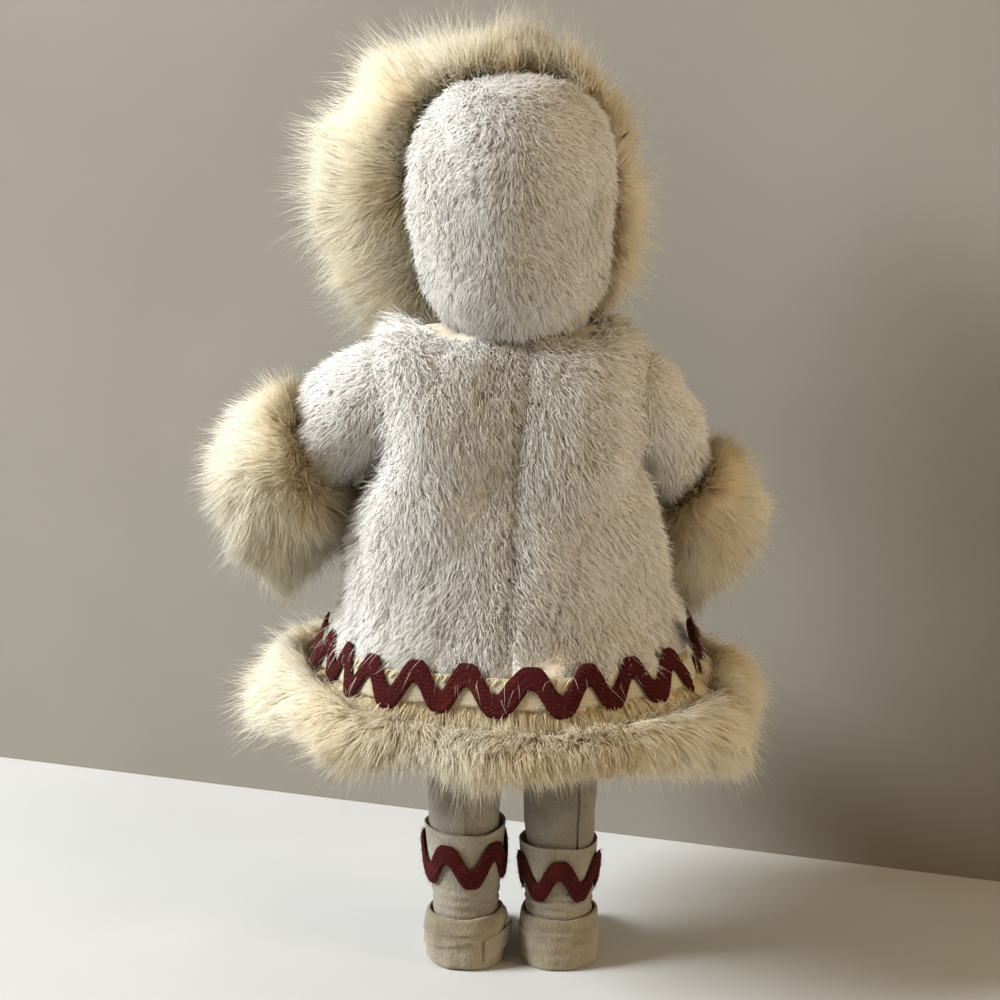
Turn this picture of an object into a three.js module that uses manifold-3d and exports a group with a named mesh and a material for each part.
// Souvenir doll in a fur parka and suede boots: a strung hard plastic doll, 226 mm tall to its ruff.
// Millimetres, +Z up. The doll faces -Y, and its left side is +X.
import * as THREE from "three";
import { mergeVertices } from "three/addons/utils/BufferGeometryUtils.js";
import Module from "manifold-3d";

const wasm = await Module();
wasm.setup();

// Clearances and walls
const SEAT = 0.3; // between pieces that touch
const PLASTIC = 1.8; // wall of the plastic shells
const SUEDE = 1.2; // thickness of the leggings and boots
const COAT_WALL = 5; // hide and short pile of the parka

// Legs
const LEG_X = 11.6; // centre of each leg from the middle plane
const HIP_Z = 95;
const HIP_FACE_X = 8; // flat hip socket from the middle plane
const HIP_RADIUS = 8.5;
const ANKLE_Z = 14;
const SHIN_Z = 26;
const CALF_Z = 42;
const THIGH_Z = 60;
const ANKLE_RADIUS = 5.6;
const SHIN_RADIUS = 6.8;
const CALF_RADIUS = 7.8;
const THIGH_RADIUS = 8.4;
const LEGGING_TOP_Z = 84;
const LEG_SIDES = 16;

// Boots
const BOOT_TOP_Z = { left: 36, right: 32 };
const WRAP_TOP_Z = 13.5; // foot wrap round the ankle
const FOOT_HEEL_Y = 8;
const FOOT_TOE_Y = -22.5;
const FOOT_HALF_WIDTH = 7.2;
const INSTEP_Z = 11.2;
const SOLE_FLATNESS = 1.35; // above 1 the sole is flat across most of its width

// Torso
const TORSO_BOTTOM_Z = 86;
const WAIST_Z = 112;
const CHEST_Z = 130;
const TORSO_TOP_Z = 156;
const WAIST_HALF_WIDTH = 12.5;
const CHEST_HALF_WIDTH = 15;
const SHOULDER_FACE_X = 17;
const TORSO_DEPTH = 10; // half of it, at the chest
const NECK_RIM_RADIUS = 8;

// Arms
const ARM_Z = 145; // shoulder pivot
const ARM_DISC_RADIUS = 6.2;
const WRIST_RADIUS = 4.3;
const HAND_REACH = 13.5; // fingertips past the middle of the cuff
// Where each arm turns down: outwards, back, and up from the shoulder's height
const ELBOW = { left: [31, 0, 1], right: [29, 0, 0] };
const ELBOW_BEND = 11; // length of its curve along the forearm
const CUFF_AT = { left: [54.5, -4, 121.5], right: [44.5, -15.5, 107.5] }; // middle of each, outwards first

// Parka
const COAT_BOTTOM_Z = 73;
const COAT_NECK_Z = 161;
const COAT_HEM_X = 47;
const COAT_HEM_Y = 39.5;
const COAT_SHOULDER_X = 29;
const COAT_SHOULDER_Y = 22;
const ARMPIT_Z = 130;
const COAT_NECK_X = 15;
const FOLD_DEPTH = 1.3;
const FOLDS = 7;
const FULLNESS = 4.5; // of the skirt under the left arm
const ARMHOLE_RADIUS = 13.5;
const SLEEVE_RADIUS = 14.6;

// Fur trims
const CUFF_RADIUS = { left: 17, right: 15.5 };
const CUFF_HALF_LENGTH = 13;
// How far a side of the cuff sits back towards the shoulder, for each mm across the arm and upwards
const CUFF_SLANT = { left: [0, 0.45], right: [-0.5, 0.1] };
const CUFF_LIP = 4.5; // how far the cuff stands out round the sleeve's end
const TRIM_DROP = 10; // of its lower edge below the parka
const TRIM_HEIGHT = 13.4;
const TRIM_SWELL = 3.5; // taller at the sides, by this much up and down
const TRIM_DEPTH = 16;
const TAPE_RISE = 6; // of its lower edge above the parka's
const TAPE_WIDTH = 6;
const TAPE_THICKNESS = 0.6;

// Rickrack braid
const BRAID_THICKNESS = 0.9;
const BRAID_AMPLITUDE = 2.6;
const BRAID_HALF_HEIGHT = 3.5;
const BRAID_PERIOD = 12.6;
const HEM_BRAID_RISE = 9.5; // of its middle line above the parka's edge
const BOOT_BRAID_DROP = 8.5; // its middle line below the boot top
const BRAID_TAIL_RISE = 7;
const BRAID_START = 2.72; // angle of its ends, at the right side of the back

// Head
const HEAD_Z = 187;
const HEAD_X = 17;
const HEAD_Y = 17.8;
const HEAD_HEIGHT = 20; // half of it
const HEAD_SEAM_Y = 1;
const NECK_RADIUS = 6.2;
const PLUG_RADIUS = 3.9;
const WIG_THICKNESS = 1.4;
const EYE_X = 6.8;
const EYE_Y = -13.3;
const EYE_Z = 188.5;
const EYE_RADIUS = 4.1;
const WEIGHT_RADIUS = 2.6;

// Hood
const HOOD_CLEARANCE = 1; // from the wig, so that the head turns
const HOOD_WALL = 3.4;
const HOOD_PEAK = 5.1; // room above the hair at the crown
const HOOD_ROUNDNESS = 2.3; // of its crown: 2 is an ellipse
const FACE_HALF_WIDTH = 15.5;
const FACE_HALF_HEIGHT = 17.5;
const FACE_Z = 189;
const RUFF_Y = -15;
const RUFF_HALF_LENGTH = 10;
const RUFF_X = 6.5; // its outline off the middle plane: it is wider at the left side
const RUFF_WIDTH = 37.5; // half of it
const RUFF_HEIGHT = 38; // half of it
const RUFF_Z = 188;
const RUFF_HOLE = [17.5, 17]; // half its width and height

// Stringing
const STUD_RADIUS = 1.6;
const STUD_HEAD_RADIUS = 2.6;
const STUD_DEPTH = 5; // into the limb
const ELASTIC_RADIUS = 0.7;

const colours = {
  skin: ["#c98f63", 0.45],
  suede: ["#a39a84", 0.95],
  whiteFur: ["#e9e6de", 0.9],
  creamFur: ["#d9c99d", 0.95],
  maroon: ["#5a1712", 0.8],
  tape: ["#dccb8c", 0.85],
  hair: ["#14100e", 0.5],
  eye: ["#3a2113", 0.15],
  steel: ["#9b9b98", 0.4, 0.9],
  lead: ["#5c5e62", 0.6, 0.8],
  elastic: ["#c9bda4", 0.8],
};

const root = new THREE.Group();

function addPiece(name, finish, geometry) {
  const [color, roughness, metalness = 0] = colours[finish];
  const flat = geometry.index ? geometry : mergeVertices(geometry);
  flat.computeVertexNormals();
  const mesh = new THREE.Mesh(flat, new THREE.MeshStandardMaterial({ color, roughness, metalness }));
  mesh.name = name;
  root.add(mesh);
}

// A smooth value along a list of [position, value] pairs, with no overshoot between them
function profile(pairs) {
  const sorted = [...pairs].sort((a, b) => a[0] - b[0]);
  const slopes = sorted.slice(1).map(([t, v], i) => (v - sorted[i][1]) / (t - sorted[i][0]));
  const tangents = sorted.map((_, i) => {
    if (i === 0) return slopes[0];
    if (i === slopes.length) return slopes[i - 1];
    const [a, b] = [slopes[i - 1], slopes[i]];
    return a * b <= 0 ? 0 : (2 * a * b) / (a + b);
  });
  return (t) => {
    if (t <= sorted[0][0]) return sorted[0][1];
    for (let i = 0; i < slopes.length; i++) {
      const [t0, v0] = sorted[i];
      const [t1, v1] = sorted[i + 1];
      if (t > t1) continue;
      const h = t1 - t0;
      const s = (t - t0) / h;
      const [s2, s3] = [s * s, s * s * s];
      return (2 * s3 - 3 * s2 + 1) * v0 + (s3 - 2 * s2 + s) * h * tangents[i]
        + (3 * s2 - 2 * s3) * v1 + (s3 - s2) * h * tangents[i + 1];
    }
    return sorted[sorted.length - 1][1];
  };
}

// A value for each of count steps from start to end, both included
function steps(start, end, count) {
  return Array.from({ length: count + 1 }, (_, i) => start + ((end - start) * i) / count);
}

function ringAngles(count) {
  return Array.from({ length: count }, (_, i) => (2 * Math.PI * i) / count);
}

// A solid swept through closed loops of points. An open sweep is capped by fans to each end's middle,
// or, where the loop goes out along one side of a wall and back along the other, by strips across it.
function sweep(loops, { closed = false, cap = "fan" } = {}) {
  const n = loops[0].length;
  const points = loops.flat().flatMap((p) => [p.x, p.y, p.z]);
  const faces = [];
  const at = (i, j) => (i % loops.length) * n + (j % n);
  for (let i = 0; i < (closed ? loops.length : loops.length - 1); i++) {
    for (let j = 0; j < n; j++) {
      faces.push(at(i, j), at(i + 1, j), at(i + 1, j + 1), at(i, j), at(i + 1, j + 1), at(i, j + 1));
    }
  }
  if (!closed) {
    for (const [i, front] of [[0, true], [loops.length - 1, false]]) {
      const cap3 = (a, b, c) => faces.push(...(front ? [a, b, c] : [c, b, a]));
      if (cap === "fan") {
        const middle = loops[i].reduce((sum, p) => sum.add(p), new THREE.Vector3()).divideScalar(n);
        points.push(middle.x, middle.y, middle.z);
        for (let j = 0; j < n; j++) cap3(points.length / 3 - 1, at(i, j), at(i, j + 1));
      } else {
        for (let j = 0; j < n / 2 - 1; j++) {
          cap3(at(i, j), at(i, j + 1), at(i, n - 2 - j));
          cap3(at(i, j), at(i, n - 2 - j), at(i, n - 1 - j));
        }
      }
    }
  }
  const geometry = new THREE.BufferGeometry();
  geometry.setAttribute("position", new THREE.Float32BufferAttribute(points, 3));
  geometry.setIndex(faces);
  return outwards(geometry);
}

function volumeOf(geometry) {
  const p = geometry.getAttribute("position");
  const index = geometry.index;
  const [a, b, c] = [new THREE.Vector3(), new THREE.Vector3(), new THREE.Vector3()];
  let sum = 0;
  for (let i = 0; i < index.count; i += 3) {
    a.fromBufferAttribute(p, index.getX(i));
    b.fromBufferAttribute(p, index.getX(i + 1));
    c.fromBufferAttribute(p, index.getX(i + 2));
    sum += a.dot(b.cross(c)) / 6;
  }
  return sum;
}

function outwards(geometry) {
  if (volumeOf(geometry) > 0) return geometry;
  geometry.index.array.reverse();
  return geometry;
}

// Booleans
function toSolid(geometry) {
  const bare = geometry.clone();
  bare.deleteAttribute("normal");
  bare.deleteAttribute("uv");
  const merged = outwards(mergeVertices(bare, 1e-4));
  return new wasm.Manifold(new wasm.Mesh({
    numProp: 3,
    vertProperties: new Float32Array(merged.getAttribute("position").array),
    triVerts: new Uint32Array(merged.index.array),
  }));
}

function toGeometry(solid) {
  const mesh = solid.getMesh();
  const points = new Float32Array(mesh.numVert * 3);
  for (let i = 0; i < mesh.numVert; i++) {
    points.set(mesh.vertProperties.subarray(i * mesh.numProp, i * mesh.numProp + 3), i * 3);
  }
  const geometry = new THREE.BufferGeometry();
  geometry.setAttribute("position", new THREE.BufferAttribute(points, 3));
  geometry.setIndex(new THREE.BufferAttribute(new Uint32Array(mesh.triVerts), 1));
  return geometry;
}

const join = (...parts) => toGeometry(parts.map(toSolid).reduce((a, b) => a.add(b)));
const cut = (body, ...tools) => toGeometry(tools.map(toSolid).reduce((a, b) => a.subtract(b), toSolid(body)));
const common = (a, b) => toGeometry(toSolid(a).intersect(toSolid(b)));

// Primitives placed by their extents
function block([x0, y0, z0], [x1, y1, z1]) {
  return new THREE.BoxGeometry(x1 - x0, y1 - y0, z1 - z0)
    .translate((x0 + x1) / 2, (y0 + y1) / 2, (z0 + z1) / 2);
}

function rodX(radius, x0, x1, y, z, sides = 12) {
  return new THREE.CylinderGeometry(radius, radius, Math.abs(x1 - x0), sides)
    .rotateZ(Math.PI / 2).translate((x0 + x1) / 2, y, z);
}

function rodZ(radius, z0, z1, x = 0, y = 0, sides = 16) {
  return new THREE.CylinderGeometry(radius, radius, z1 - z0, sides)
    .rotateX(Math.PI / 2).translate(x, y, (z0 + z1) / 2);
}

function ellipsoid(rx, ry, rz, at, across = 20, down = 14) {
  return new THREE.SphereGeometry(1, across, down).rotateX(Math.PI / 2).scale(rx, ry, rz).translate(...at);
}

const FAR = 200; // past the model, for cutting blocks

// A block from a plane across X, out to one side
function sideBlock(s, x, z0 = 0, z1 = FAR * 2) {
  return block([Math.min(x, s * FAR), -FAR, z0], [Math.max(x, s * FAR), FAR, z1]);
}

// Head, neck and wig: plump cheeks below the middle, narrower at the crown
function headSolid(offset, across = 22, down = 14) {
  const geometry = new THREE.SphereGeometry(1, across, down).rotateX(Math.PI / 2);
  const p = geometry.getAttribute("position");
  for (let i = 0; i < p.count; i++) {
    const z = p.getZ(i);
    const plump = 1 + 0.05 * Math.sin(Math.PI * Math.min(Math.max(-z, 0), 1));
    const front = p.getY(i) < 0 ? plump : 1;
    p.setXYZ(
      i,
      p.getX(i) * (HEAD_X + offset) * plump,
      p.getY(i) * (HEAD_Y + offset) * front,
      HEAD_Z + z * (HEAD_HEIGHT + offset),
    );
  }
  return geometry;
}

function makeHead() {
  const neckBottom = TORSO_TOP_Z + SEAT;
  const boreRadius = PLUG_RADIUS + SEAT;
  const socket = EYE_RADIUS + SEAT;
  const nose = ellipsoid(1.9, 2.4, 2.1, [0, 0.6 - HEAD_Y, HEAD_Z - 3.2], 10, 6);
  const upperLip = ellipsoid(3.2, 1.2, 0.9, [0, 0.75 - HEAD_Y, HEAD_Z - 8.2], 10, 4);
  const lowerLip = ellipsoid(2.5, 1.2, 0.9, [0, 0.95 - HEAD_Y, HEAD_Z - 9.9], 10, 4);
  const outside = join(headSolid(0), rodZ(NECK_RADIUS, neckBottom, HEAD_Z - 15), nose, upperLip, lowerLip);
  const eyeCuts = [-EYE_X, EYE_X].flatMap((x) => [
    ellipsoid(socket, socket, socket, [x, EYE_Y, EYE_Z], 12, 8),
    new THREE.CylinderGeometry(1, 1, HEAD_Y, 14).scale(3.2, 1, 2.3).translate(x, -HEAD_Y, EYE_Z),
  ]);
  const head = cut(
    outside,
    headSolid(-PLASTIC, 14, 9),
    rodZ(boreRadius, neckBottom - 1, HEAD_Z, 0, 0, 16),
    ...eyeCuts,
  );
  const faceSide = block([-FAR, -FAR, 0], [FAR, HEAD_SEAM_Y - SEAT / 2, FAR * 2]);
  const backSide = block([-FAR, HEAD_SEAM_Y + SEAT / 2, 0], [FAR, FAR, FAR * 2]);
  addPiece("head_front", "skin", common(head, faceSide));
  addPiece("head_back", "skin", common(head, backSide));

  const flangeTop = TORSO_TOP_Z - PLASTIC - SEAT;
  const plug = join(
    rodZ(PLUG_RADIUS, flangeTop - 0.5, HEAD_Z - 22, 0, 0, 16),
    rodZ(PLUG_RADIUS + 1.6, flangeTop - 1.8, flangeTop, 0, 0, 16),
  );
  addPiece("neck_plug", "skin", plug);

  const faceWindow = new THREE.CylinderGeometry(1, 1, FAR, 20)
    .scale(12.5, 1, 15).translate(0, -FAR / 2 - 3, HEAD_Z - 4.5);
  const belowHair = block([-FAR, -FAR, 0], [FAR, FAR, HEAD_Z - 13]);
  addPiece("wig", "hair", cut(headSolid(SEAT + WIG_THICKNESS), headSolid(SEAT),
    faceWindow, belowHair));
}

function makeEyes() {
  const barY = EYE_Y + EYE_RADIUS + 1.1;
  for (const [side, x] of [["left", EYE_X], ["right", -EYE_X]]) {
    addPiece("eye_" + side, "eye", ellipsoid(EYE_RADIUS, EYE_RADIUS, EYE_RADIUS, [x, EYE_Y, EYE_Z], 12, 8));
  }
  const drop = 9;
  addPiece("eye_bar", "steel", join(
    rodX(0.8, -EYE_X - 1, EYE_X + 1, barY, EYE_Z, 12),
    rodZ(0.8, EYE_Z - drop, EYE_Z, 0, barY, 12),
  ));
  addPiece("eye_weight", "lead",
    rodX(WEIGHT_RADIUS, -4, 4, barY, EYE_Z - drop - SEAT - WEIGHT_RADIUS, 16));
}

// Torso: two shells with flat shoulder sockets and round hip sockets
function torsoSolid(offset) {
  const crotchZ = TORSO_BOTTOM_Z + 5;
  const seatZ = HIP_Z + 5;
  const halfWidth = profile([
    [TORSO_BOTTOM_Z, 0.65 * WAIST_HALF_WIDTH], [crotchZ, WAIST_HALF_WIDTH + 0.5],
    [seatZ, WAIST_HALF_WIDTH + 1.5], [WAIST_Z, WAIST_HALF_WIDTH], [CHEST_Z, CHEST_HALF_WIDTH],
    [ARM_Z - 4, SHOULDER_FACE_X + 1.5],
    [ARM_Z + 4, SHOULDER_FACE_X], [TORSO_TOP_Z - 3, NECK_RIM_RADIUS], [TORSO_TOP_Z, NECK_RIM_RADIUS],
  ]);
  const halfDepth = profile([
    [TORSO_BOTTOM_Z, 0.6 * TORSO_DEPTH], [crotchZ, TORSO_DEPTH - 1], [seatZ, TORSO_DEPTH + 0.5],
    [WAIST_Z, TORSO_DEPTH - 1], [CHEST_Z, TORSO_DEPTH], [ARM_Z, TORSO_DEPTH - 0.5],
    [TORSO_TOP_Z - 3, NECK_RIM_RADIUS], [TORSO_TOP_Z, NECK_RIM_RADIUS],
  ]);
  const square = (v) => Math.sign(v) * Math.abs(v) ** (2 / 2.7);
  const heights = [
    TORSO_BOTTOM_Z - offset, crotchZ, seatZ, WAIST_Z, CHEST_Z, ARM_Z - 5, ARM_Z, ARM_Z + 4, ARM_Z + 6,
    TORSO_TOP_Z - 3.5, TORSO_TOP_Z + offset,
  ];
  const loops = heights.map((z) => ringAngles(16).map((a) =>
    new THREE.Vector3(
      (halfWidth(z) + offset) * square(Math.cos(a)), (halfDepth(z) + offset) * square(Math.sin(a)), z)));
  return sweep(loops);
}

function makeTorso() {
  const sides = [-1, 1];
  // Room for the hip disc and, below it, for the thigh that swings with it
  const hipRoom = (wall) => sides.flatMap((s) => {
    const face = s * (HIP_FACE_X - wall);
    const room = HIP_RADIUS + SEAT + wall;
    return [
      rodX(room, face, s * FAR, 0, HIP_Z, 20),
      sideBlock(s, face, 0, HIP_Z + 2 + wall),
    ];
  });
  const shoulderCut = sides.map((s) => sideBlock(s, s * SHOULDER_FACE_X, ARMPIT_Z));
  const shoulderWall = sides.map((s) => sideBlock(s, s * (SHOULDER_FACE_X - PLASTIC), ARMPIT_Z));
  const cavity = cut(torsoSolid(-PLASTIC), ...hipRoom(PLASTIC), ...shoulderWall);
  const torso = cut(
    torsoSolid(0), cavity, ...hipRoom(0), ...shoulderCut,
    rodX(STUD_RADIUS + SEAT, -SHOULDER_FACE_X - 1, SHOULDER_FACE_X + 1, 0, ARM_Z),
    rodX(STUD_RADIUS + SEAT, -HIP_FACE_X - 1, HIP_FACE_X + 1, 0, HIP_Z),
    rodZ(PLUG_RADIUS + SEAT, TORSO_TOP_Z - 5, TORSO_TOP_Z + 1),
  );
  addPiece("torso_front", "skin", common(torso, block([-FAR, -FAR, 0], [FAR, -SEAT / 2, FAR * 2])));
  addPiece("torso_back", "skin", common(torso, block([-FAR, SEAT / 2, 0], [FAR, FAR, FAR * 2])));
}

// A ring round each stud's shank, joined by two strands that pass outside the stud heads
function makeElastic(name, faceX, z) {
  const ringX = faceX - PLASTIC - 2.6;
  const strandY = STUD_HEAD_RADIUS + SEAT + ELASTIC_RADIUS;
  const band = [-1, 1].flatMap((s) => [rodX(strandY + ELASTIC_RADIUS, s * ringX, s * (ringX + 1.5), 0, z)]);
  const strands = [-1, 1].map((s) => rodX(ELASTIC_RADIUS, -ringX - 0.5, ringX + 0.5, s * strandY, z, 8));
  addPiece(name, "elastic", cut(join(...band, ...strands),
    rodX(STUD_RADIUS + SEAT, -ringX - 2, -ringX + 0.5, 0, z),
    rodX(STUD_RADIUS + SEAT, ringX - 0.5, ringX + 2, 0, z)));
}

// A stud with a round head, pressed into the limb and reaching through the socket
function makeStud(name, side, faceX, z) {
  const headX = faceX - PLASTIC - 4.5;
  addPiece(name, "steel", join(
    rodX(STUD_RADIUS, side * headX, side * (faceX + STUD_DEPTH), 0, z),
    rodX(STUD_HEAD_RADIUS, side * headX, side * (headX + 1.5), 0, z),
  ));
}

// The arm's line: out of the shoulder, round the elbow, and straight down the forearm and hand
function armLine(side) {
  const s = side === "left" ? 1 : -1;
  const mirror = ([x, y, z]) => new THREE.Vector3(s * x, y, z);
  const shoulder = mirror([SHOULDER_FACE_X, 0, ARM_Z]);
  const [out, back, rise] = ELBOW[side];
  const elbow = mirror([out, back, ARM_Z + rise]);
  const cuff = mirror(CUFF_AT[side]);
  const forearm = cuff.clone().sub(elbow).normalize();
  const bendEnd = elbow.clone().addScaledVector(forearm, ELBOW_BEND);
  const bend = new THREE.QuadraticBezierCurve3(shoulder, elbow, bendEnd);
  const bendLength = bend.getLength();
  const toCuff = bendLength + cuff.distanceTo(bendEnd);
  // A point at a distance along the line, then across it: level, and upwards
  const place = (t, u, v) => {
    const curved = t < bendLength;
    const at = Math.max(t, 0) / bendLength;
    const along = curved ? bend.getTangentAt(at) : forearm.clone();
    const middle = curved ? bend.getPointAt(at) : bendEnd.clone().addScaledVector(forearm, t - bendLength);
    const level = new THREE.Vector3(0, 0, 1).cross(along).normalize();
    const upper = along.clone().cross(level);
    return middle.addScaledVector(level, u).addScaledVector(upper, v);
  };
  return { s, place, toCuff };
}

function makeArm(side) {
  const { s, place, toCuff } = armLine(side);
  const length = toCuff + HAND_REACH;
  const arm = [[0, ARM_DISC_RADIUS - 0.6], [13, 5.1], [toCuff - 12, 4.5], [toCuff - 4, WRIST_RADIUS],
    [toCuff + 2, WRIST_RADIUS]];
  const width = profile([...arm, [toCuff + 7, 4.8], [length - 2, 4], [length, 1.6]]);
  const depth = profile([...arm, [toCuff + 7, 2.9], [length - 2, 2.4], [length, 1.1]]);
  const loops = steps(SEAT, length, 13).map((t) => ringAngles(10).map((a) =>
    place(t, depth(t) * Math.cos(a), width(t) * Math.sin(a))));
  const thumb = place(toCuff + 9.5, 0, -3.8);
  const disc = rodX(ARM_DISC_RADIUS, s * (SHOULDER_FACE_X + SEAT), s * (SHOULDER_FACE_X + 4), 0, ARM_Z, 16);
  const inboard = sideBlock(-s, s * (SHOULDER_FACE_X + SEAT));
  addPiece("arm_" + side, "skin", cut(
    join(sweep(loops), ellipsoid(1.6, 1.6, 2.6, thumb.toArray(), 8, 6), disc), inboard,
    rodX(STUD_RADIUS + SEAT, s * SHOULDER_FACE_X, s * (SHOULDER_FACE_X + STUD_DEPTH + SEAT), 0, ARM_Z)));
  makeStud("arm_stud_" + side, s, SHOULDER_FACE_X, ARM_Z);
}

// Leg: the hip disc turns in the torso's round socket, and the leg tapers to the ankle and foot
const legRadius = profile([
  [0, ANKLE_RADIUS], [ANKLE_Z, ANKLE_RADIUS], [SHIN_Z, SHIN_RADIUS], [CALF_Z, CALF_RADIUS],
  [THIGH_Z, THIGH_RADIUS],
  [HIP_Z, HIP_RADIUS - SEAT],
]);
const hipLean = profile([[THIGH_Z, 0], [HIP_Z, HIP_FACE_X + SEAT + HIP_RADIUS - LEG_X]]);

// The heights that every piece round the leg shares, so that their facets run alike
function legHeights(z0, z1) {
  const shared = [ANKLE_Z, SHIN_Z, CALF_Z, THIGH_Z, (THIGH_Z + LEGGING_TOP_Z) / 2, LEGGING_TOP_Z];
  return [z0, ...shared.filter((z) => z > z0 + 0.5 && z < z1 - 0.5), z1];
}

function legRing(s, z, radius) {
  return ringAngles(LEG_SIDES).map((a) => new THREE.Vector3(
    s * (LEG_X + Math.max(hipLean(z), 0)) + radius * Math.cos(a), radius * Math.sin(a), z));
}

const footBottom = SUEDE + SEAT;

// The foot's outline, grown by an offset for the suede wrapped round it
function footSolid(s, offset) {
  const [heel, toe] = [FOOT_HEEL_Y, FOOT_TOE_Y];
  const halfWidth = profile([
    [toe, 3.6], [toe + 3, 6.2], [toe + 9, FOOT_HALF_WIDTH + 0.3], [-4, FOOT_HALF_WIDTH], [heel - 4, 6.4],
    [heel, 3.8],
  ]);
  const top = profile([
    [toe, 5], [toe + 4, 6.6], [toe + 12, 9.4], [-5, INSTEP_Z], [heel - 3, INSTEP_Z], [heel, INSTEP_Z - 2],
  ]);
  const exponent = 2 / 3.2;
  const power = (v) => Math.sign(v) * Math.abs(v) ** exponent;
  const loops = steps(0, 1, 8).map((u) => {
    const y = toe + (heel - toe) * u;
    const bottom = footBottom - offset;
    const middle = (top(y) + offset + bottom) / 2;
    const stretch = 1 + (2 * offset) / (heel - toe);
    return ringAngles(12).map((a) => new THREE.Vector3(
      s * LEG_X + (halfWidth(y) + offset) * power(Math.cos(a)),
      (y - (heel + toe) / 2) * stretch + (heel + toe) / 2,
      middle + (middle - bottom) * Math.max(-1, power(Math.sin(a)) * (Math.sin(a) < 0 ? SOLE_FLATNESS : 1)),
    ));
  });
  return sweep(loops);
}

function makeLeg(side) {
  const s = side === "left" ? 1 : -1;
  const shank = sweep(legHeights(INSTEP_Z - 3, HIP_Z).map((z) => legRing(s, z, legRadius(z))));
  const hip = rodX(HIP_RADIUS, s * (HIP_FACE_X + SEAT), s * (HIP_FACE_X + SEAT + 2 * HIP_RADIUS - 1.5),
    0, HIP_Z, 20);
  const inboard = sideBlock(-s, s * (HIP_FACE_X + SEAT), HIP_Z - HIP_RADIUS - 3);
  addPiece("leg_" + side, "skin", cut(join(shank, hip, footSolid(s, 0)), inboard,
    rodX(STUD_RADIUS + SEAT, s * HIP_FACE_X, s * (HIP_FACE_X + STUD_DEPTH + SEAT), 0, HIP_Z)));
  makeStud("leg_stud_" + side, s, HIP_FACE_X, HIP_Z);
}

// A tube round the leg, from one radius outside it to another
function legTube(s, z0, z1, innerOffset, outerOffset) {
  const heights = legHeights(z0, z1);
  const wall = (offset) => heights.map((z) => legRing(s, z, legRadius(z) + offset));
  const [outer, inner] = [wall(outerOffset), wall(innerOffset)];
  const loops = ringAngles(LEG_SIDES).map((_, i) => [
    ...outer.map((ring) => ring[i]), ...inner.map((ring) => ring[i]).reverse(),
  ]);
  return sweep(loops, { closed: true });
}

const leggingOutside = SEAT + SUEDE;
const shaftInside = leggingOutside + SEAT;
const shaftOutside = shaftInside + SUEDE;
const shaftBottom = INSTEP_Z + SEAT + 0.1;

function makeBoot(side) {
  const s = side === "left" ? 1 : -1;
  const top = BOOT_TOP_Z[side];
  addPiece("legging_" + side, "suede",
    legTube(s, shaftBottom + 2, LEGGING_TOP_Z, SEAT, leggingOutside));
  addPiece("boot_shaft_" + side, "suede", legTube(s, shaftBottom, top, shaftInside, shaftOutside));

  const braidZ = top - BOOT_BRAID_DROP;
  const radius = legRadius(braidZ) + shaftOutside;
  const waves = Math.max(3, Math.round((2 * Math.PI * radius) / BRAID_PERIOD));
  const lift = legRadius(braidZ + BRAID_AMPLITUDE + BRAID_HALF_HEIGHT) - legRadius(braidZ) + SEAT;
  const braid = ringAngles(waves * 6).map((a) => {
    const middle = braidZ + BRAID_AMPLITUDE * Math.sin(waves * a);
    const at = (z, d) => new THREE.Vector3(
      s * LEG_X + (radius + lift + d) * Math.cos(a), (radius + lift + d) * Math.sin(a), z);
    return [
      at(middle - BRAID_HALF_HEIGHT, 0), at(middle + BRAID_HALF_HEIGHT, 0),
      at(middle + BRAID_HALF_HEIGHT, BRAID_THICKNESS), at(middle - BRAID_HALF_HEIGHT, BRAID_THICKNESS),
    ];
  });
  addPiece("boot_braid_" + side, "maroon", sweep(braid, { closed: true }));

  const collarInside = legRadius(ANKLE_Z) + shaftOutside + SEAT;
  const collar = rodZ(collarInside + SUEDE, 2, WRAP_TOP_Z, s * LEG_X, 0, 16);
  addPiece("foot_wrap_" + side, "suede", cut(
    join(footSolid(s, SEAT + SUEDE), collar),
    footSolid(s, SEAT),
    rodZ(collarInside, INSTEP_Z - 2, WRAP_TOP_Z + 1, s * LEG_X, 0, 16),
  ));
}

// Parka: one outline for its panels, the trims round its hem and what rests on its shoulders
const skirtZ = (share) => COAT_BOTTOM_Z + (ARMPIT_Z - COAT_BOTTOM_Z) * share;
const shoulderEdgeZ = COAT_NECK_Z - 2.5;
const shoulderZ = COAT_NECK_Z - 7;
const flare = (share, hem, top) => hem + (top - hem) * share;
const coatX = profile([
  [COAT_BOTTOM_Z, COAT_HEM_X], [skirtZ(0.33), flare(0.36, COAT_HEM_X, COAT_SHOULDER_X)],
  [skirtZ(0.7), flare(0.61, COAT_HEM_X, COAT_SHOULDER_X)], [ARMPIT_Z, COAT_SHOULDER_X],
  [ARM_Z, COAT_SHOULDER_X], [shoulderZ, COAT_SHOULDER_X], [shoulderEdgeZ, COAT_SHOULDER_X - 1.5],
  [COAT_NECK_Z, COAT_NECK_X + 5],
]);
const coatY = profile([
  [COAT_BOTTOM_Z, COAT_HEM_Y], [skirtZ(0.33), flare(0.3, COAT_HEM_Y, COAT_SHOULDER_Y)],
  [skirtZ(0.7), flare(0.61, COAT_HEM_Y, COAT_SHOULDER_Y)], [ARMPIT_Z, COAT_SHOULDER_Y + 3],
  [ARM_Z, COAT_SHOULDER_Y], [shoulderZ, COAT_SHOULDER_Y - 2.5], [shoulderEdgeZ, COAT_SHOULDER_Y - 5],
  [COAT_NECK_Z, COAT_NECK_X - 1.5],
]);
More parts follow.
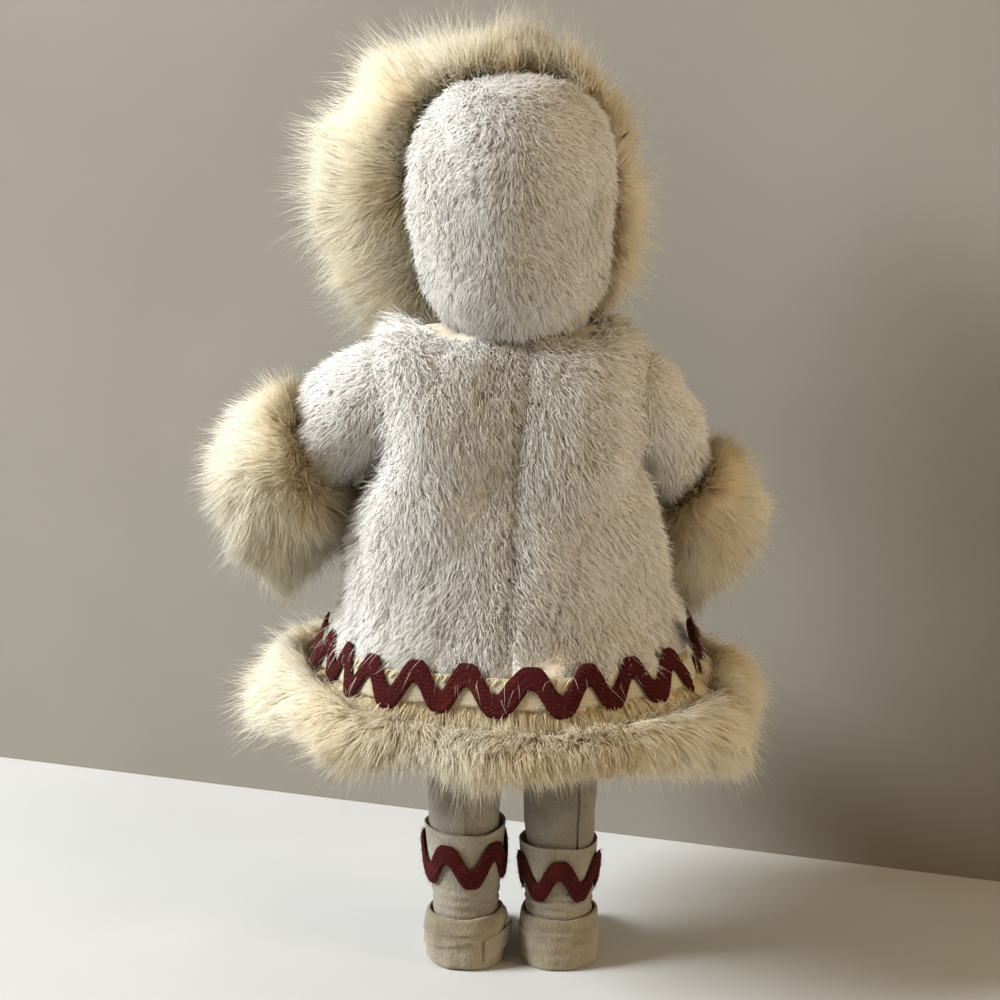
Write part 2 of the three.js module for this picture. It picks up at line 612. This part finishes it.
const coatSquareness = profile([
  [COAT_BOTTOM_Z, 2.1], [skirtZ(0.7), 2.6], [ARMPIT_Z, 4.4], [ARM_Z, 5], [shoulderZ, 3.4], [COAT_NECK_Z, 2.1],
]);
const foldStrength = profile([[COAT_BOTTOM_Z, 1], [ARMPIT_Z - 6, 0]]);
const fullness = profile([[skirtZ(0.4), 0], [skirtZ(0.75), FULLNESS], [ARMPIT_Z, 0]]);
const coatNeckRadius = NECK_RIM_RADIUS + SEAT;
const coatCeilingZ = COAT_NECK_Z - COAT_WALL + 0.5;
const neckBlend = profile([[ARM_Z, 0], [ARM_Z + 6, 0.2], [coatCeilingZ, 1]]);

function coatPoint(a, z, offset) {
  const power = 2 / coatSquareness(z);
  const round = (v) => Math.sign(v) * Math.abs(v) ** power;
  const fold = foldStrength(z) * FOLD_DEPTH * (Math.cos(FOLDS * a + 0.6) + 0.4 * Math.cos(3 * a));
  const grow = offset + fold;
  const left = fullness(z) * Math.max(0, Math.cos(a)) ** 2;
  return new THREE.Vector3(
    (coatX(z) + grow + left) * round(Math.cos(a)), (coatY(z) + grow) * round(Math.sin(a)), z);
}

// The inside follows the outside at the wall's thickness and closes in to the neck hole above the arms
function coatInside(a, z) {
  const wall = coatPoint(a, Math.min(z, ARM_Z + 8), -COAT_WALL);
  const neck = new THREE.Vector3(Math.cos(a) * coatNeckRadius, Math.sin(a) * coatNeckRadius, 0);
  const point = wall.lerp(neck, neckBlend(z));
  return new THREE.Vector3(point.x, point.y, z);
}

const coatHeights = (topZ) => [
  ...steps(COAT_BOTTOM_Z, ARMPIT_Z, 5), ARM_Z, COAT_NECK_Z - 9, coatCeilingZ, shoulderEdgeZ, topZ,
];

function coatPanel(from, to, count) {
  const heights = coatHeights(COAT_NECK_Z);
  const loops = steps(from, to, count).map((a) => [
    ...heights.map((z) => coatPoint(a, z, 0)),
    ...heights.map((z) => coatInside(a, z)).reverse(),
  ]);
  return sweep(loops, { cap: "strip" });
}

function coatOutline(offset) {
  const ring = (z) => ringAngles(36).map((a) => coatPoint(a, z, offset));
  return sweep(coatHeights(COAT_NECK_Z + offset).map(ring));
}

function makeParka() {
  const armholes = [-1, 1].map((s) => rodX(ARMHOLE_RADIUS, s * SHOULDER_FACE_X, s * FAR, 0, ARM_Z, 24));
  const side = block([-FAR, -SEAT / 2, 0], [FAR, SEAT / 2, FAR]);
  const half = (s) => sideBlock(s, (s * SEAT) / 2);
  const back = cut(coatPanel(0, Math.PI, 20), ...armholes, side);
  addPiece("parka_back_left", "whiteFur", common(back, half(1)));
  addPiece("parka_back_right", "whiteFur", common(back, half(-1)));
  addPiece("parka_front", "whiteFur", cut(coatPanel(Math.PI, 2 * Math.PI, 20), ...armholes, side));
}

// Sleeve: a tube along the arm, from the parka's armhole to the cuff
const SLEEVE_START = 5; // along the arm, inside the parka's outline
const SLEEVE_REACH = 45; // more than any of it is from the shoulder's turning line
const SLEEVE_HOLE = [8.8, WRIST_RADIUS + 1.3]; // its radius at both ends

// What the parka takes up at one side as seen by the turning arm: flat at the shoulder, wider below it
function sleeveClearance(s) {
  const widest = (z) => coatX(z) + (s > 0 ? fullness(z) : 0) + foldStrength(z) * FOLD_DEPTH * 1.4 + 3 * SEAT;
  const radii = [0, ...steps(ARM_Z - ARMPIT_Z, SLEEVE_REACH, 6)];
  const points = radii.map((r) => new THREE.Vector2(r, widest(ARM_Z - r)));
  points.push(new THREE.Vector2(points[points.length - 1].x, 0), new THREE.Vector2(0, 0));
  return new THREE.LatheGeometry(points, 24).rotateZ((-s * Math.PI) / 2).translate(0, 0, ARM_Z);
}

function makeSleeve(side) {
  const { s, place, toCuff } = armLine(side);
  const cuffRadius = CUFF_RADIUS[side];
  const [slantU, slantV] = CUFF_SLANT[side];
  const slant = (a, r) => r * (slantU * Math.cos(a) + slantV * Math.sin(a));
  const end = toCuff - CUFF_HALF_LENGTH - SEAT;
  const rows = steps(0, 1, 4);
  const outer = profile([[0, SLEEVE_RADIUS], [1, cuffRadius - CUFF_LIP]]);
  const inner = profile([[0, SLEEVE_HOLE[0]], [1, SLEEVE_HOLE[1]]]);
  const loops = ringAngles(16).map((a) => {
    const point = (share, r) => {
      const along = SLEEVE_START + (end - SLEEVE_START) * share - slant(a, r) * share ** 2;
      return place(along, r * Math.cos(a), r * Math.sin(a));
    };
    return [...rows.map((u) => point(u, outer(u))), ...rows.map((u) => point(u, inner(u))).reverse()];
  });
  addPiece("sleeve_" + side, "whiteFur", cut(sweep(loops, { closed: true }), sleeveClearance(s)));

  const hole = WRIST_RADIUS + SEAT + 0.2;
  const radial = (cuffRadius - hole) / 2;
  const cuff = ringAngles(18).map((a) => ringAngles(10).map((b) => {
    const lump = 1 + 0.035 * Math.cos(5 * a + 1) + 0.02 * Math.cos(8 * a);
    const r = hole + radial * (1 + Math.cos(b)) * lump;
    const t = toCuff + CUFF_HALF_LENGTH * Math.sin(b);
    return place(t - slant(a, r), r * Math.cos(a), r * Math.sin(a));
  }));
  // Its pile is pressed flat where it lies against the parka
  addPiece("cuff_" + side, "creamFur", cut(sweep(cuff, { closed: true }), coatOutline(SEAT)));
}

// Hem: fur trim under the parka's edge, a tape over the joint and the braid over the tape
function hemRing(count, section) {
  return ringAngles(count).map((a) => section(a).map(([out, z]) => hemPoint(a, z, out)));
}

function hemPoint(a, z, out) {
  const base = coatPoint(a, Math.max(z, COAT_BOTTOM_Z), 0);
  const normal = new THREE.Vector3(Math.cos(a) / COAT_HEM_X, Math.sin(a) / COAT_HEM_Y, 0).normalize();
  return new THREE.Vector3(base.x, base.y, z).addScaledVector(normal, out);
}

function makeHem() {
  const tapeBottom = COAT_BOTTOM_Z + TAPE_RISE;
  const tapeTop = tapeBottom + TAPE_WIDTH;
  const tapeIn = SEAT * 1.5; // clear of the folds
  const tapeOut = tapeIn + TAPE_THICKNESS;
  const braidIn = tapeOut + tapeIn;
  const braidOut = braidIn + BRAID_THICKNESS;
  const braidLow = COAT_BOTTOM_Z + HEM_BRAID_RISE - BRAID_AMPLITUDE - BRAID_HALF_HEIGHT;

  const middleZ = COAT_BOTTOM_Z - TRIM_DROP + TRIM_HEIGHT / 2;
  const seatZ = COAT_BOTTOM_Z - SEAT;
  addPiece("hem_trim", "creamFur", sweep(hemRing(42, (a) => ringAngles(10).map((b) => {
    const lump = 1 + 0.05 * Math.cos(9 * a) + 0.03 * Math.cos(14 * a + 1);
    const out = TRIM_DEPTH * (0.24 + 0.5 * Math.cos(b) * lump);
    const swell = TRIM_SWELL * Math.cos(a) ** 2;
    const lift = 0.7 * swell * Math.sign(Math.cos(a)); // it hangs lower at the right side
    const z = middleZ + lift + (TRIM_HEIGHT / 2 + swell) * Math.sin(b);
    if (out < SEAT && z > seatZ - 1) return [SEAT, seatZ];
    // Above the parka's edge it stands clear of the braid
    return out < braidOut + SEAT && z > braidLow - SEAT ? [braidOut + SEAT, braidLow - SEAT] : [out, z];
  })), { closed: true }));

  addPiece("hem_tape", "tape", sweep(hemRing(40, () => [
    [tapeIn, tapeBottom], [tapeIn, tapeTop], [tapeOut, tapeTop], [tapeOut, tapeBottom],
  ]), { closed: true }));

  const around = Math.PI * (COAT_HEM_X + COAT_HEM_Y);
  const waves = Math.round(around / BRAID_PERIOD) - 0.3;
  const stations = Math.round(waves * 6);
  const braid = steps(0, 1, stations).map((u) => {
    const a = BRAID_START + 2 * Math.PI * u * (1 - 0.3 / waves);
    const tail = BRAID_TAIL_RISE * Math.max(0, 1 - u * waves) ** 2;
    const wave = BRAID_AMPLITUDE * Math.sin(2 * Math.PI * waves * u);
    const middle = COAT_BOTTOM_Z + HEM_BRAID_RISE + tail + wave;
    const [low, high] = [middle - BRAID_HALF_HEIGHT, middle + BRAID_HALF_HEIGHT];
    return [[braidIn, low], [braidIn, high], [braidOut, high], [braidOut, low]]
      .map(([out, z]) => hemPoint(a, z, out));
  });
  addPiece("hem_braid", "maroon", sweep(braid));
}

// Hood: a bag over the turning head, open at the face, with the ruff round its edge
const hairClearance = SEAT + WIG_THICKNESS + HOOD_CLEARANCE;
const hoodRadius = HEAD_Y + hairClearance;
const hoodInsideTop = HEAD_Z + HEAD_HEIGHT + hairClearance + HOOD_PEAK;
const hoodMiddleZ = HEAD_Z + 4;
const hoodBelow = profile([
  [COAT_NECK_Z, COAT_NECK_X - 2.5], [HEAD_Z - 0.85 * HEAD_HEIGHT, hoodRadius - 2.8],
  [hoodMiddleZ, hoodRadius],
]);

function hoodInside(z) {
  if (z < hoodMiddleZ) return hoodBelow(z);
  const rise = Math.min(1, (z - hoodMiddleZ) / (hoodInsideTop - hoodMiddleZ));
  return hoodRadius * (1 - rise ** HOOD_ROUNDNESS) ** (1 / HOOD_ROUNDNESS);
}

function hoodShape(offset, across, down) {
  const [bottomZ, topZ] = [COAT_NECK_Z + SEAT, hoodInsideTop + offset];
  const points = steps(0, 1, down).map((u) => {
    const rise = Math.sin((u * Math.PI) / 2);
    const z = bottomZ + (topZ - bottomZ) * rise;
    return new THREE.Vector2(u === 1 ? 0 : hoodInside(z - offset * rise) + offset, z);
  });
  points.unshift(new THREE.Vector2(0, bottomZ));
  return new THREE.LatheGeometry(points, across).rotateX(Math.PI / 2);
}

function faceTunnel() {
  return new THREE.CylinderGeometry(1, 1, FAR, 24)
    .scale(FACE_HALF_WIDTH, 1, FACE_HALF_HEIGHT).translate(0, -FAR / 2 - 2, FACE_Z);
}

function makeHood() {
  const stretch = 1.05; // deeper front to back than wide
  const outside = hoodShape(HOOD_WALL, 28, 10).scale(1, stretch, 1);
  const inside = hoodShape(0, 20, 8).translate(0, 0, -0.001);
  const neckHole = rodZ(COAT_NECK_X - 2.5, COAT_NECK_Z - 5, COAT_NECK_Z + 3);
  addPiece("hood", "whiteFur", cut(outside, inside, neckHole, faceTunnel()));

  const seatOn = hoodShape(HOOD_WALL + SEAT, 28, 10).scale(1, stretch, 1);
  const ring = ringAngles(32).map((a) => ringAngles(10).map((b) => {
    const lump = 1 + 0.03 * Math.cos(7 * a) + 0.025 * Math.cos(11 * a + 2);
    const share = 0.5 + 0.5 * Math.cos(b) * (Math.cos(b) > 0 ? lump : 1); // from the hole to the outline
    const from = new THREE.Vector3(RUFF_HOLE[0] * Math.cos(a), 0, RUFF_HOLE[1] * Math.sin(a));
    const to = new THREE.Vector3(RUFF_X + RUFF_WIDTH * Math.cos(a), 0, RUFF_HEIGHT * Math.sin(a));
    return from.lerp(to, share).add(new THREE.Vector3(0, RUFF_Y + RUFF_HALF_LENGTH * Math.sin(b), RUFF_Z));
  }));
  const ruff = sweep(ring, { closed: true });
  addPiece("hood_ruff", "creamFur", cut(ruff, seatOn, coatOutline(SEAT), faceTunnel()));
}

makeTorso();
makeElastic("arm_elastic", SHOULDER_FACE_X, ARM_Z);
makeElastic("leg_elastic", HIP_FACE_X, HIP_Z);
makeHead();
makeEyes();
for (const side of ["left", "right"]) {
  makeArm(side);
  makeLeg(side);
  makeBoot(side);
  makeSleeve(side);
}
makeParka();
makeHem();
makeHood();

// The origin is under the middle of the whole doll, on the surface that it stands on
const extent = new THREE.Box3().setFromObject(root);
root.position.set(-(extent.min.x + extent.max.x) / 2, -(extent.min.y + extent.max.y) / 2, -extent.min.z);

export default root;
